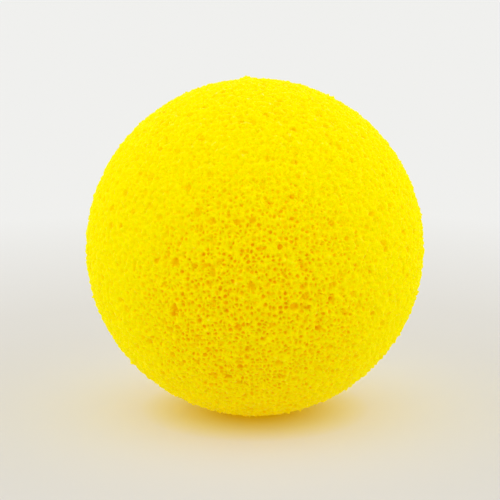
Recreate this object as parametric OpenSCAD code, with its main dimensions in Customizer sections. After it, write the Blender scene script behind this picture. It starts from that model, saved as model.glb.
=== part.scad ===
// Foam stress ball: one solid ball of soft open-cell foam. Its own weight presses
// a small flat into it where it rests, and the origin is the middle of that flat.

/* [Ball] */
// Diameter of the ball
ball_d = 63; // [50:1:90]
// Diameter of the flat that the ball rests on
flat_d = 6; // [3:0.5:12]

/* [Finish] */
// Red, green and blue of the foam
foam_rgb = [0.97, 0.84, 0.02]; // [0:0.01:1]

/* [Hidden] */
ball_r = ball_d / 2;
flat_r = flat_d / 2;
// Height of the ball's centre above the surface that it rests on
centre_z = sqrt(ball_r * ball_r - flat_r * flat_r);
$fn = 128;

// All the space under the surface that the ball rests on
module below_rest() {
    translate([0, 0, -ball_r])
        cube(ball_d, center = true);
}

module foam_ball() {
    color(foam_rgb)
        difference() {
            translate([0, 0, centre_z])
                sphere(r = ball_r);
            below_rest();
        }
}

foam_ball();
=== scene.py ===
"""Foam stress ball: the looks of a ball of soft open-cell foam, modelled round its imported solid."""

import math

import bpy
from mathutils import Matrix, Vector


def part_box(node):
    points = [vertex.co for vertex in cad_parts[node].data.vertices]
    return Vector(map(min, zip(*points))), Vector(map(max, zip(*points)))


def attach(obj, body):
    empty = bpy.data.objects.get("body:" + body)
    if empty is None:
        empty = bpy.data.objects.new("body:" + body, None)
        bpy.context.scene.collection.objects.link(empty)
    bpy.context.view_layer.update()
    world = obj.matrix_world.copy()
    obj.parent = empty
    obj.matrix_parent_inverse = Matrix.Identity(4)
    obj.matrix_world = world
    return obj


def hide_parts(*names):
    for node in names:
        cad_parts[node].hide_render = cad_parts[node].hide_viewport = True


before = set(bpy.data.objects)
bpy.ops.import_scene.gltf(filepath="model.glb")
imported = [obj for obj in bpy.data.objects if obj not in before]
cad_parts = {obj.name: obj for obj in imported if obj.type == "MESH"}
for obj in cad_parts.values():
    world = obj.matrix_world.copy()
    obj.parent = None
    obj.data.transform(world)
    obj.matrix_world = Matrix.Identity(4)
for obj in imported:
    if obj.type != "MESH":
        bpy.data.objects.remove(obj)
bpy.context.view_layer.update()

bl_info = {
    "name": "Foam stress ball",
    "version": (1, 0, 0),
    "blender": (4, 5, 0),
    "location": "View3D > Sidebar > Foam Ball",
    "description": "Models a ball of open-cell foam with its pores, and a plain studio round it",
    "category": "Object",
}

MM = 0.001
BODY = "root"
NODE = "foam_ball"
PIECE = "sponge_ball"

BALL_LOW, BALL_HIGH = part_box(NODE)
BALL_R = (BALL_HIGH.x - BALL_LOW.x) / 2
BALL_CENTRE = Vector((0, 0, BALL_HIGH.z - BALL_R))
REST_Z = BALL_LOW.z

# What the pores leave on the mesh for the foam's material to read, from which it paints shade into the pits
# and a highlight on the strut tips: depths and the rise in millimetres, and shares from 0 to 1
CELL_DEPTH = "cell_depth"
CELL_TONE = "cell_tone"
CELL_INNER = "cell_inner"
HOLE_DEPTH = "hole_depth"
BUBBLE_DEPTH = "bubble_depth"
STRUT_RISE = "strut_rise"
# The layout that the foam's colours bake on, and the stretch that makes it fill its square
BAKE_MAP = "OFBake"
BAKE_STRETCH = (1.0, 2.1, 1.0)


# ---------------------------------------------------------------- sizes and colours


def length(name, description, millimetres):
    """A length that a user may change, given in millimetres and kept in metres."""
    return bpy.props.FloatProperty(
        name=name, description=description, default=millimetres * MM, min=0, unit="LENGTH", precision=5
    )


def colour(name, description, default):
    """A colour that a user may change."""
    return bpy.props.FloatVectorProperty(
        name=name, description=description, default=default, min=0, max=1, size=3, subtype="COLOR"
    )


class FoamBallSizes(bpy.types.PropertyGroup):
    """The foam's cells, as lengths."""

    levels: bpy.props.IntProperty(
        name="Mesh levels",
        description="How often the ball's faces are split in four",
        default=9,
        min=5,
        max=9,
    )
    cell: length("Cell", "Spacing of the fine cells", 0.95)
    cell_least: length("Cell, least", "Radius of the smallest fine cells", 0.24)
    cell_most: length("Cell, most", "Radius of the largest fine cells", 0.45)
    cell_depth: length("Cell depth", "Depth of the deepest fine cells", 0.40)
    basin: length("Basin", "Depth that the skin between the walls of a fine cell sags to", 0.06)
    wall: length("Wall", "Width over which a cell's wall rises to the next one", 0.20)
    wander: length("Wander", "Size of the bends in the rows of fine cells", 0.6)
    wander_reach: length("Wander reach", "How far the rows of fine cells bend", 0.25)
    hole: length("Hole", "Spacing of the small round holes between cells", 1.1)
    hole_least: length("Hole, least", "Radius of the smallest round holes", 0.14)
    hole_most: length("Hole, most", "Radius of the largest round holes", 0.30)
    bubble: length("Bubble", "Spacing of the middle bubbles", 1.5)
    bubble_least: length("Bubble, least", "Radius of the smallest middle bubbles", 0.25)
    bubble_most: length("Bubble, most", "Radius of the largest middle bubbles", 0.50)
    coarse: length("Coarse bubble", "Spacing of the coarse bubbles", 2.3)
    coarse_least: length("Coarse bubble, least", "Radius of the smallest coarse bubbles", 0.50)
    coarse_most: length("Coarse bubble, most", "Radius of the largest coarse bubbles", 0.85)
    clump: length("Clump", "Size of the clumps that the cut surface tears into", 1.0)
    clump_height: length("Clump height", "How far the clumps stand up or sink", 0.90)
    tip: length("Strut tip", "Spacing of the strut tips that stand up", 1.2)
    tip_height: length("Strut tip height", "How far the tallest strut tips stand up", 0.50)
    nub_width: length("Nub", "Width of the small nub where the ball was cut free", 3.6)
    nub_height: length("Nub height", "Height of that nub", 0.75)


class FoamBallColours(bpy.types.PropertyGroup):
    """The foam's and the studio's colours."""

    strut: colour("Strut", "Colour of the struts", (1.0, 0.825, 0.0))
    # The bubble, cell and hole colours are painted shade: the material paints the pits darker amber the
    # deeper they are
    bubble: colour("Bubble", "Colour in the larger bubbles", (1.0, 0.53, 0.0))
    cell: colour("Cell", "Colour deep in a fine cell", (1.0, 0.51, 0.0))
    hole: colour("Hole", "Colour deep in a small round hole", (0.92, 0.35, 0.0))
    # Painted highlight on the strut tips, paler still at the top of the ball
    tip: colour("Strut tip", "Colour of the pale strut tips", (0.99, 0.86, 0.16))
    # Painted light: the floor round the ball is painted near white, which lifts the ball's shadow there
    painted_lit_floor: colour("Floor by the ball", "Colour of the floor that the ball lights", (0.99, 0.99, 0.99))
    floor: colour("Floor", "Colour of the floor round the ball", (0.668, 0.652, 0.620))
    floor_far: colour("Far floor", "Colour of the floor well away from the ball", (0.765, 0.765, 0.757))
    # Painted shadow close under the ball, tinted with the ball's yellow
    painted_contact_shade: colour("Floor at the contact", "Colour of the floor close under the ball", (0.76, 0.70, 0.0))
    # Painted glow: the floor close under the ball gives off this colour as light coming through the foam
    through: colour(
        "Light through the foam", "Colour of the light that gets through to the floor", (1.0, 0.55, 0.0)
    )
    sky: colour("Backdrop", "Colour of the studio's far wall", (0.87, 0.87, 0.855))


# ---------------------------------------------------------------- node maths


class Signal:
    """A node's output that takes part in Python arithmetic. Each operator adds a Math node."""

    def __init__(self, graph, socket):
        self.graph = graph
        self.socket = socket

    def math(self, operation, *others):
        return self.graph.add("ShaderNodeMath", {"operation": operation}, dict(enumerate((self, *others))))

    def __add__(self, other):
        return self.math("ADD", other)

    def __mul__(self, other):
        return self.math("MULTIPLY", other)

    def __sub__(self, other):
        return self.math("SUBTRACT", other)

    def __truediv__(self, other):
        return self.math("DIVIDE", other)

    def __pow__(self, other):
        return self.math("POWER", other)

    def __rsub__(self, other):
        return (self * -1) + other

    __radd__ = __add__
    __rmul__ = __mul__

    def root(self):
        return self.math("SQRT")

    def at_least(self, other):
        return self.math("MAXIMUM", other)

    def at_most(self, other):
        return self.math("MINIMUM", other)

    def clamped(self):
        return self.at_least(0).at_most(1)

    def past(self, start, gain):
        """0 up to a start, and from there a gain for each unit, up to 1."""
        return ((self - start) * gain).clamped()

    def lifted(self, least):
        """A share from 0 to 1, squeezed to run from least to 1."""
        return least + self * (1 - least)

    def eased(self):
        """A share from 0 to 1 that starts and ends gently."""
        return self * self * (3 - self * 2)


class Graph:
    """A node tree being built, for a material, the world or a Geometry Nodes modifier."""

    def __init__(self, tree):
        self.tree = tree

    def add(self, kind, settings=None, sockets=None, out=0):
        """Adds a node with its settings, then feeds its sockets, and gives the output asked for."""
        node = self.tree.nodes.new(kind)
        for name, value in (settings or {}).items():
            setattr(node, name, value)
        for key, value in (sockets or {}).items():
            self.feed(node.inputs[key], value)
        return Signal(self, node.outputs[out]) if node.outputs else None

    def also(self, signal, out):
        """Another output of the node that a signal comes from."""
        return Signal(self, signal.socket.node.outputs[out])

    def feed(self, socket, value):
        """Links a signal to a socket, or sets the socket's own value."""
        if isinstance(value, Signal):
            self.tree.links.new(value.socket, socket)
        else:
            socket.default_value = value

    def vector(self, operation, *values, out=0):
        """A Vector Math node."""
        return self.add("ShaderNodeVectorMath", {"operation": operation}, dict(enumerate(values)), out)

    def scaled(self, vector, times):
        """A vector times a number."""
        return self.add("ShaderNodeVectorMath", {"operation": "SCALE"}, {0: vector, "Scale": times})

    def mix_colour(self, factor, first, second):
        """A colour between two others."""
        settings = {"data_type": "RGBA", "blend_type": "MIX", "clamp_factor": True}
        return self.add("ShaderNodeMix", settings, {0: factor, 6: first, 7: second}, out=2)

    def noise(self, point, size, detail, roughness):
        """Soft noise from 0 to 1 whose lumps are about size across."""
        sockets = {"Vector": point, "Scale": 1 / size, "Detail": detail, "Roughness": roughness}
        return self.add("ShaderNodeTexNoise", {"noise_dimensions": "3D"}, sockets)


def cleared(block):
    """The graph of a new material or world, with no nodes in it."""
    block.use_nodes = True
    block.node_tree.nodes.clear()
    return Graph(block.node_tree)


def opaque(colour):
    """A colour with its alpha, as node sockets take it."""
    return (*colour, 1.0)


# ---------------------------------------------------------------- the foam ball

# Depth of the bubbles and of the small round holes, as shares of a round one's
BUBBLE_SQUASH = 0.40
HOLE_SQUASH = 0.6
# Widths over which the rim of a bubble or hole, and the side of a fine cell, fall away
RIM = 0.10 * MM
CELL_SLOPE = 0.16 * MM
# How freely the fine cells are scattered, from 0 for straight rows to 1
CELL_SCATTER = 0.85
# The flattest fine cell's depth, and the palest small hole's painted shade, as shares of the most that they
# reach
CELL_FLATTEST = 0.4
HOLE_PALEST = 0.3
# The bubbles' depth at an openness of 0, as a share of what it is at 1
BUBBLE_FLATTEST = 0.35
# The depth at which a bubble flattens the cells in it most, and the share that it then takes off them
BUBBLE_FULL = 0.6 * MM
BUBBLE_FLATTENS = 0.5
# The way that the cells open widest, by how much less they do to the sides, the square of the cosine at
# which they start to open and the span over which they do, and how open they are elsewhere
OPEN_WAY = Vector((0.0, -0.96, -0.28)).normalized()
OPEN_ASIDE = 0.25
OPEN_FROM = 0.30
OPEN_SPAN = 0.58
OPEN_LEAST = 0.30
# Strut tips: their radius, and a shift that keeps them off the seeds of the other patterns
TIP_R = 0.36 * MM
TIP_SHIFT = (0.02, 0.01, 0.03)
# Where the nub is: how far it leans back from the top, and how far aside, as a share of the radius
NUB_ANGLE = math.radians(12)
NUB_ASIDE = 0.05


def bubble_pits(graph, point, outward, cell, least, most):
    """Depth of the pits where the surface cuts through one size of round bubble, and each one's chance."""
    near = graph.add(
        "ShaderNodeTexVoronoi",
        {"voronoi_dimensions": "3D", "feature": "F1"},
        {"Vector": point, "Scale": 1 / cell, "Randomness": 1.0},
        out="Position",
    )
    shade = graph.add("ShaderNodeSeparateXYZ", None, {0: graph.also(near, "Color")})
    radius = least + shade * (most - least)
    step = graph.vector("SUBTRACT", point, near)
    along = graph.vector("DOT_PRODUCT", step, outward, out="Value")
    away = graph.vector("LENGTH", step, out="Value")
    aside = away * away - along * along
    bottom = along + (radius * radius - aside).at_least(0).root()
    inside = ((radius - away) / RIM).clamped()
    return bottom.at_least(0) * inside, graph.also(shade, 1)


def fine_cells(graph, point, outward, sizes):
    """Depth of the close-packed fine cells, how far inside their walls a point is, and their chance."""
    wander = graph.add(
        "ShaderNodeTexNoise",
        {"noise_dimensions": "3D"},
        {"Vector": point, "Scale": 1 / sizes.wander, "Detail": 1.0},
        out="Color",
    )
    bent = graph.vector("SUBTRACT", wander, (0.5, 0.5, 0.5))
    bent = graph.vector("ADD", point, graph.scaled(bent, sizes.wander_reach))
    pattern = {"Vector": bent, "Scale": 1 / sizes.cell, "Randomness": CELL_SCATTER}
    near = graph.add(
        "ShaderNodeTexVoronoi", {"voronoi_dimensions": "3D", "feature": "F1"}, pattern, out="Position"
    )
    edge = graph.add(
        "ShaderNodeTexVoronoi", {"voronoi_dimensions": "3D", "feature": "DISTANCE_TO_EDGE"}, pattern
    )
    shade = graph.add("ShaderNodeSeparateXYZ", None, {0: graph.also(near, "Color")})
    chance = graph.also(shade, 1)
    radius = sizes.cell_least + shade * (sizes.cell_most - sizes.cell_least)
    step = graph.vector("SUBTRACT", bent, near)
    along = graph.vector("DOT_PRODUCT", step, outward, out="Value")
    away = graph.vector("LENGTH", step, out="Value")
    aside = (away * away - along * along).at_least(0).root()
    hollow = ((radius - aside) / CELL_SLOPE).clamped()
    inner = (edge * (sizes.cell / sizes.wall)).clamped()
    round_part = hollow.eased() * chance.lifted(CELL_FLATTEST) * sizes.cell_depth
    return inner * (round_part + sizes.basin), inner, chance


def open_zone(graph, outward):
    """How open the cells are: wide open round the front and the back, and finer and closer elsewhere."""
    front = graph.vector("DOT_PRODUCT", outward, tuple(OPEN_WAY), out="Value")
    aside = graph.vector("DOT_PRODUCT", outward, (1, 0, 0), out="Value")
    share = ((front * front - aside * aside * OPEN_ASIDE - OPEN_FROM) / OPEN_SPAN).clamped()
    return share.lifted(OPEN_LEAST)


def strut_tips(graph, point, cell, height):
    """Height of the scattered strut ends that stand up from the surface."""
    near = graph.add(
        "ShaderNodeTexVoronoi",
        {"voronoi_dimensions": "3D", "feature": "F1"},
        {"Vector": graph.vector("ADD", point, TIP_SHIFT), "Scale": 1 / cell, "Randomness": 1.0},
        out="Distance",
    )
    shade = graph.add("ShaderNodeSeparateXYZ", None, {0: graph.also(near, "Color")})
    return (1 - near * (cell / TIP_R)).clamped() * (shade * shade) * height


def nub(graph, point, width, height):
    """Height of the small nub where the ball was cut free."""
    way = Vector((-NUB_ASIDE, math.sin(NUB_ANGLE), math.cos(NUB_ANGLE))).normalized()
    place = BALL_CENTRE + BALL_R * way
    away = graph.vector("DISTANCE", point, tuple(place), out="Value") / (width / 2)
    return (1 - away).clamped().eased() * height


def sunk_parts(graph, point, outward, sizes):
    """Depth of the bubbles and of the finer pores in them, and what both leave on the mesh."""
    middle, _ = bubble_pits(graph, point, outward, sizes.bubble, sizes.bubble_least, sizes.bubble_most)
    coarse, _ = bubble_pits(graph, point, outward, sizes.coarse, sizes.coarse_least, sizes.coarse_most)
    openness = open_zone(graph, outward)
    bubbles = middle.at_least(coarse) * BUBBLE_SQUASH * openness.lifted(BUBBLE_FLATTEST)
    bottom = graph.vector("SUBTRACT", point, graph.scaled(outward, bubbles))
    cells, inner, tone = fine_cells(graph, bottom, outward, sizes)
    holes, dark = bubble_pits(graph, bottom, outward, sizes.hole, sizes.hole_least, sizes.hole_most)
    shallow = openness * (1 - (bubbles / BUBBLE_FULL).clamped() * BUBBLE_FLATTENS)
    cells = cells * shallow
    holes = holes * shallow * HOLE_SQUASH
    # The material paints the pits' shade from these. Each hole's depth is also scaled by a random darkness
    left_on_mesh = {
        CELL_DEPTH: cells / MM,
        CELL_TONE: tone,
        CELL_INNER: inner * openness,
        HOLE_DEPTH: holes / MM * dark.lifted(HOLE_PALEST),
        BUBBLE_DEPTH: bubbles / MM,
    }
    return bubbles, cells.at_least(holes), left_on_mesh


def torn_parts(graph, point, sizes):
    """Height of the clumps that the cut surface tears into, with the strut tips on them."""
    clumps = graph.noise(point, sizes.clump, 3.0, 0.6) - 0.5
    tips = strut_tips(graph, point, sizes.tip, sizes.tip_height)
    return clumps * (sizes.clump_height * 2) + tips


def stored(graph, mesh, kind, domain, name, value):
    """The mesh with a named value left on it."""
    return graph.add(
        "GeometryNodeStoreNamedAttribute",
        {"data_type": kind, "domain": domain},
        {"Geometry": mesh, "Name": name, "Value": value},
    )


def build_pore_nodes(sizes):
    """The Geometry Nodes tree that carves the ball, and leaves on it what the foam's colour needs."""
    tree = bpy.data.node_groups.new("foam_pores", "GeometryNodeTree")
    tree.interface.new_socket("Geometry", in_out="INPUT", socket_type="NodeSocketGeometry")
    tree.interface.new_socket("Geometry", in_out="OUTPUT", socket_type="NodeSocketGeometry")
    graph = Graph(tree)
    ball = graph.add("NodeGroupInput")
    point = graph.add("GeometryNodeInputPosition")
    outward = graph.vector("NORMALIZE", graph.vector("SUBTRACT", point, tuple(BALL_CENTRE)))

    bubbles, pores, left_on_mesh = sunk_parts(graph, point, outward, sizes)
    rise = torn_parts(graph, point, sizes)
    left_on_mesh[STRUT_RISE] = rise / MM
    top = rise + nub(graph, point, sizes.nub_width, sizes.nub_height)
    carved = graph.vector("ADD", point, graph.scaled(outward, top - bubbles - pores))
    spread = graph.add("ShaderNodeSeparateXYZ", None, {0: carved})
    height = graph.also(spread, 2).at_least(REST_Z)
    placed = graph.add("ShaderNodeCombineXYZ", None, {0: spread, 1: graph.also(spread, 1), 2: height})

    layout = graph.add("GeometryNodeInputNamedAttribute", {"data_type": "FLOAT_VECTOR"}, {"Name": BAKE_MAP})
    stretched = graph.vector("MULTIPLY", layout, BAKE_STRETCH)
    shaped = stored(graph, ball, "FLOAT2", "CORNER", BAKE_MAP, stretched)
    for name, value in left_on_mesh.items():
        shaped = stored(graph, shaped, "FLOAT", "POINT", name, value)
    shaped = graph.add("GeometryNodeSetPosition", None, {"Geometry": shaped, "Position": placed})
    graph.add("NodeGroupOutput", None, {0: shaped})
    return tree


# From what depth in millimetres a hollow shows its painted shade, and how fast that grows with each
# millimetre
CELL_SHOWS = 0.09
CELL_GAIN = 4.5
HOLE_SHOWS = 0.07
HOLE_GAIN = 5.8
BUBBLE_GAIN = 1.9
# The palest fine cell's painted shade, as a share of the darkest one's, and how far the floors of all are
# tinted with painted shade
CELL_PALEST = 0.60
CELL_TINT = 0.34
# Grain and mottling: their sizes, how far the grain tints the foam, and from where and how far the mottling
# adds painted shade to the cell floors
GRAIN = 0.25 * MM
GRAIN_TINT = 0.10
MOTTLE = 5.0 * MM
SHADE_MOTTLE_SHOWS = 0.47
SHADE_MOTTLE_GAIN = 1.6
# Painted highlight on the strut tips: from what rise in millimetres they pale, how fast, and how far low
# down and more at the top of the ball, where light from above falls
TIP_SHOWS = 0.275
TIP_GAIN = 4.0
TIP_HIGHLIGHT = 0.08
TOP_HIGHLIGHT = 0.60
# The top of the ball, where the strut tips' painted highlight grows: its start, in radii above the surface
# that the ball rests on, and its gain from there
TOP_FROM = 1.5
TOP_GAIN = 2.0
# The foam's dull surface and its fine fuzz
ROUGHNESS = 0.85
ROUGHNESS_CHANGE = 0.3
BUMP_HEIGHT = 0.06 * MM
FUZZ_TINT = (1.0, 1.0, 0.75)
# How far light goes into the foam, and how much of that each of red, green and blue goes
LIGHT_REACH = 4.0 * MM
LIGHT_SPREAD = (1.0, 0.7, 0.05)


def foam_material(colours):
    """Yellow polyurethane foam: bright struts over amber pits whose amber is painted shade, with a painted
    highlight on the strut tips, matte and slightly see-through.
    """
    material = bpy.data.materials.new("yellow_open_cell_foam")
    graph = cleared(material)
    point = graph.add("ShaderNodeTexCoord", None, None, "Object")

    def left(name):
        return graph.add("ShaderNodeAttribute", {"attribute_name": name}, None, "Fac")

    grain = graph.noise(point, GRAIN, 3.0, 0.6) - 0.5
    mottle = graph.noise(point, MOTTLE, 2.0, 0.5)
    # Painted shade in the bubbles, with random mottling of painted shade in the cell floors and a random
    # grain
    mottled_shade = (mottle - SHADE_MOTTLE_SHOWS).at_least(0) * left(CELL_INNER) * SHADE_MOTTLE_GAIN
    in_bubble = (left(BUBBLE_DEPTH) * BUBBLE_GAIN + mottled_shade + grain * GRAIN_TINT).clamped()
    # Painted shade: fine cells and holes are painted darker the deeper they are
    in_cell = left(CELL_DEPTH).past(CELL_SHOWS, CELL_GAIN) * left(CELL_TONE).lifted(CELL_PALEST)
    in_hole = left(HOLE_DEPTH).past(HOLE_SHOWS, HOLE_GAIN)
    height = graph.vector("DOT_PRODUCT", point, (0, 0, 1), out="Value") / BALL_R
    # Painted highlight: high strut tips pale, more so towards the top of the ball
    top_light = height.past(TOP_FROM, TOP_GAIN)
    tip_highlight = left(STRUT_RISE).past(TIP_SHOWS, TIP_GAIN) * (TIP_HIGHLIGHT + top_light * TOP_HIGHLIGHT)
    # The mixes lay painted shade over the struts, then the painted highlight on the tips
    shade = graph.mix_colour(left(CELL_INNER) * CELL_TINT, opaque(colours.strut), opaque(colours.cell))
    shade = graph.mix_colour(in_bubble, shade, opaque(colours.bubble))
    shade = graph.mix_colour(in_cell, shade, opaque(colours.cell))
    shade = graph.mix_colour(in_hole, shade, opaque(colours.hole))
    shade = graph.mix_colour(tip_highlight, shade, opaque(colours.tip))

    bump = graph.add("ShaderNodeBump", None, {"Strength": 0.4, "Distance": BUMP_HEIGHT, "Height": grain})
    shader = graph.add(
        "ShaderNodeBsdfPrincipled",
        None,
        {
            "Base Color": shade,
            "Roughness": ROUGHNESS + grain * ROUGHNESS_CHANGE,
            "Normal": bump,
            "Specular IOR Level": 0.0,
            "Sheen Weight": 0.30,
            "Sheen Roughness": 0.25,
            "Sheen Tint": opaque(FUZZ_TINT),
            "Subsurface Weight": 0.6,
            "Subsurface Radius": LIGHT_SPREAD,
            "Subsurface Scale": LIGHT_REACH,
        },
    )
    graph.add("ShaderNodeOutputMaterial", None, {"Surface": shader})
    return material


def deselect_all():
    """Leaves no object selected."""
    for obj in bpy.context.selected_objects:
        obj.select_set(False)


class FOAMBALL_OT_ball(bpy.types.Operator):
    """Model the foam ball, with its pores cut into its surface"""

    bl_idname = "foamball.ball"
    bl_label = "Foam ball"

    def execute(self, context):
        sizes = context.scene.foam_ball_sizes
        deselect_all()
        bpy.ops.mesh.primitive_ico_sphere_add(
            subdivisions=sizes.levels, radius=BALL_R, calc_uvs=True, location=BALL_CENTRE
        )
        ball = context.active_object
        ball.name = PIECE
        ball.data.name = PIECE
        bpy.ops.object.transform_apply(location=True, rotation=True, scale=True)
        ball.data.uv_layers[0].name = BAKE_MAP
        pores = ball.modifiers.new("Pores", "NODES")
        pores.node_group = build_pore_nodes(sizes)
        bpy.ops.object.modifier_apply(modifier=pores.name)
        bpy.ops.object.shade_smooth()
        ball.data.materials.append(foam_material(context.scene.foam_ball_colours))
        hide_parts(NODE)
        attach(ball, BODY)
        return {"FINISHED"}


# ---------------------------------------------------------------- the studio

# Where the camera stands: its height as an angle and its distance, both from the ball's centre
CAMERA_HEIGHT_ANGLE = math.radians(12)
CAMERA_DISTANCE = 12 * BALL_R
TO_CAMERA = Vector((0, -math.cos(CAMERA_HEIGHT_ANGLE), math.sin(CAMERA_HEIGHT_ANGLE)))
# Its sensor in millimetres, and as shares of the frame's width its shifts and the ball's outline radius
SENSOR = 36.0
SHIFT_X = -0.010
SHIFT_Y = -0.006
OUTLINE_SHARE = 0.336
# The nearest and the farthest that it sees, in metres
CLIP_NEAR = 0.01
CLIP_FAR = 20

# The floor: its radius in metres and its sides. The other lengths are in ball radii from the point under
# the ball. A painted pool of light round the ball, and the light that the floor gives back to it, reach out
# to
# NEAR_END, and NEAR_FALL is the power by which both fall off. The floor lightens again from FAR_FROM, over
# FAR_SPAN
FLOOR_R = 2.5
FLOOR_SIDES = 128
NEAR_END = 2.2
NEAR_SPAN = 2.1
NEAR_FALL = 2.0
FAR_FROM = 2.8
FAR_SPAN = 3.4
# A painted amber glow and painted shadow close under the ball, for light that comes down through the foam:
# its share at the middle, which is held at 1, its fall with each ball radius, and the glow's strength
THROUGH_SHARE = 1.36
THROUGH_FALL = 1.95
THROUGH_STRENGTH = 0.07
# What the floor throws back at the ball: its own colour, and the light that it gives off by the ball and
# far from it
BOUNCE = (0.78, 0.78, 0.77)
BOUNCE_LIGHT_NEAR = (0.95, 0.62, 0.22)
BOUNCE_LIGHT_FAR = (0.05, 0.05, 0.05)
BOUNCE_STRENGTH = 0.43
NO_LIGHT = (0.0, 0.0, 0.0)

# The tent's light at its sides, and how much less comes from its mouth, its roof and its back. MOUTH_FALL
# is a power: the higher it is, the narrower the mouth
TENT_COLOUR = (1.0, 1.0, 0.99)
TENT_LIGHT = 1.515
MOUTH_DIM = 0.79
MOUTH_FALL = 4.0
ROOF_DIM = 0.33
BACK_DIM = 0.60


def dull_sheet(graph, tint, light, strength):
    """A surface with no shine that gives off some light of its own."""
    return graph.add(
        "ShaderNodeBsdfPrincipled",
        None,
        {
            "Base Color": tint,
            "Roughness": 1.0,
            "Specular IOR Level": 0.0,
            "Emission Color": light,
            "Emission Strength": strength,
        },
    )


def floor_material(colours):
    """A plain pale sheet with a painted pool of light round the ball and a painted amber shadow and glow
    close under it, that throws back more light than the camera sees.
    """
    material = bpy.data.materials.new("pale_floor")
    graph = cleared(material)
    point = graph.add("ShaderNodeTexCoord", None, None, "Object")
    away = graph.vector("LENGTH", point, out="Value") / BALL_R
    # Painted light: the floor round the ball is painted lighter out to NEAR_END; the same share sets the
    # light that the floor gives back to the ball
    near = ((NEAR_END - away) / NEAR_SPAN).clamped() ** NEAR_FALL
    far = away.past(FAR_FROM, 1 / FAR_SPAN)
    # Painted shadow and glow: close under the ball the floor is painted amber and gives off amber light
    through = (THROUGH_SHARE - away * THROUGH_FALL).clamped()
    tint = graph.mix_colour(far, opaque(colours.floor), opaque(colours.floor_far))
    tint = graph.mix_colour(near, tint, opaque(colours.painted_lit_floor))
    tint = graph.mix_colour(through, tint, opaque(colours.painted_contact_shade))
    amber = graph.mix_colour(through, opaque(NO_LIGHT), opaque(colours.through))
    shown = dull_sheet(graph, tint, amber, THROUGH_STRENGTH)
    bounced = graph.mix_colour(near, opaque(BOUNCE_LIGHT_FAR), opaque(BOUNCE_LIGHT_NEAR))
    lighting = dull_sheet(graph, opaque(BOUNCE), bounced, BOUNCE_STRENGTH)
    seen = graph.add("ShaderNodeLightPath", None, None, "Is Camera Ray")
    both = graph.add("ShaderNodeMixShader", None, {0: seen, 1: lighting, 2: shown})
    graph.add("ShaderNodeOutputMaterial", None, {"Surface": both})
    return material


def studio_world(colours):
    """A light tent: bright at its sides, and dimmer above, behind and at its mouth, where the camera is."""
    world = bpy.data.worlds.new("studio")
    graph = cleared(world)
    way = graph.add("ShaderNodeTexCoord", None, None, "Generated")
    spread = graph.add("ShaderNodeSeparateXYZ", None, {0: way})
    in_front = graph.vector("DOT_PRODUCT", way, tuple(TO_CAMERA), out="Value").at_least(0)
    above = graph.also(spread, 2).at_least(0)
    behind = graph.also(spread, 1).at_least(0)
    light = TENT_LIGHT - in_front ** MOUTH_FALL * MOUTH_DIM - above * ROOF_DIM - behind * behind * BACK_DIM
    seen = graph.add("ShaderNodeLightPath", None, None, "Is Camera Ray")
    shown = graph.add("ShaderNodeBackground", None, {"Color": opaque(colours.sky), "Strength": 1.0})
    lit = graph.add("ShaderNodeBackground", None, {"Color": opaque(TENT_COLOUR), "Strength": light})
    both = graph.add("ShaderNodeMixShader", None, {0: seen, 1: lit, 2: shown})
    graph.add("ShaderNodeOutputWorld", None, {"Surface": both})
    return world


def add_camera():
    """The camera, aimed at the ball's centre from a little above it."""
    data = bpy.data.cameras.new("camera")
    camera = bpy.data.objects.new("camera", data)
    bpy.context.scene.collection.objects.link(camera)
    camera.location = BALL_CENTRE + TO_CAMERA * CAMERA_DISTANCE
    camera.rotation_euler = (-TO_CAMERA).to_track_quat("-Z", "Y").to_euler()
    reach = CAMERA_DISTANCE / BALL_R
    data.sensor_width = SENSOR
    data.lens = SENSOR * OUTLINE_SHARE * math.sqrt(reach * reach - 1)
    data.shift_x = SHIFT_X
    data.shift_y = SHIFT_Y
    data.clip_start = CLIP_NEAR
    data.clip_end = CLIP_FAR
    bpy.context.scene.camera = camera


class FOAMBALL_OT_studio(bpy.types.Operator):
    """Set up the floor, the soft light and the camera"""

    bl_idname = "foamball.studio"
    bl_label = "Studio"

    def execute(self, context):
        colours = context.scene.foam_ball_colours
        deselect_all()
        bpy.ops.mesh.primitive_circle_add(
            vertices=FLOOR_SIDES, radius=FLOOR_R, fill_type="NGON", location=(0, 0, REST_Z)
        )
        floor = context.active_object
        floor.name = "floor"
        floor.data.materials.append(floor_material(colours))
        context.scene.world = studio_world(colours)
        context.scene.view_settings.view_transform = "Standard"
        add_camera()
        return {"FINISHED"}


# ---------------------------------------------------------------- add-on


class FOAMBALL_PT_panel(bpy.types.Panel):
    """The ball's and the studio's operators, with their values"""

    bl_idname = "FOAMBALL_PT_panel"
    bl_label = "Foam stress ball"
    bl_space_type = "VIEW_3D"
    bl_region_type = "UI"
    bl_category = "Foam Ball"

    def draw(self, context):
        column = self.layout.column()
        for group in (context.scene.foam_ball_sizes, context.scene.foam_ball_colours):
            for name in group.__annotations__:
                column.prop(group, name)
        for operator in OPERATORS:
            column.operator(operator.bl_idname)


OPERATORS = (FOAMBALL_OT_ball, FOAMBALL_OT_studio)
CLASSES = (FoamBallSizes, FoamBallColours, *OPERATORS, FOAMBALL_PT_panel)


def register():
    for cls in CLASSES:
        bpy.utils.register_class(cls)
    bpy.types.Scene.foam_ball_sizes = bpy.props.PointerProperty(type=FoamBallSizes)
    bpy.types.Scene.foam_ball_colours = bpy.props.PointerProperty(type=FoamBallColours)


def unregister():
    del bpy.types.Scene.foam_ball_colours
    del bpy.types.Scene.foam_ball_sizes
    for cls in reversed(CLASSES):
        bpy.utils.unregister_class(cls)


def main():
    register()
    bpy.ops.foamball.ball()
    bpy.ops.foamball.studio()


if __name__ == "__main__":
    main()
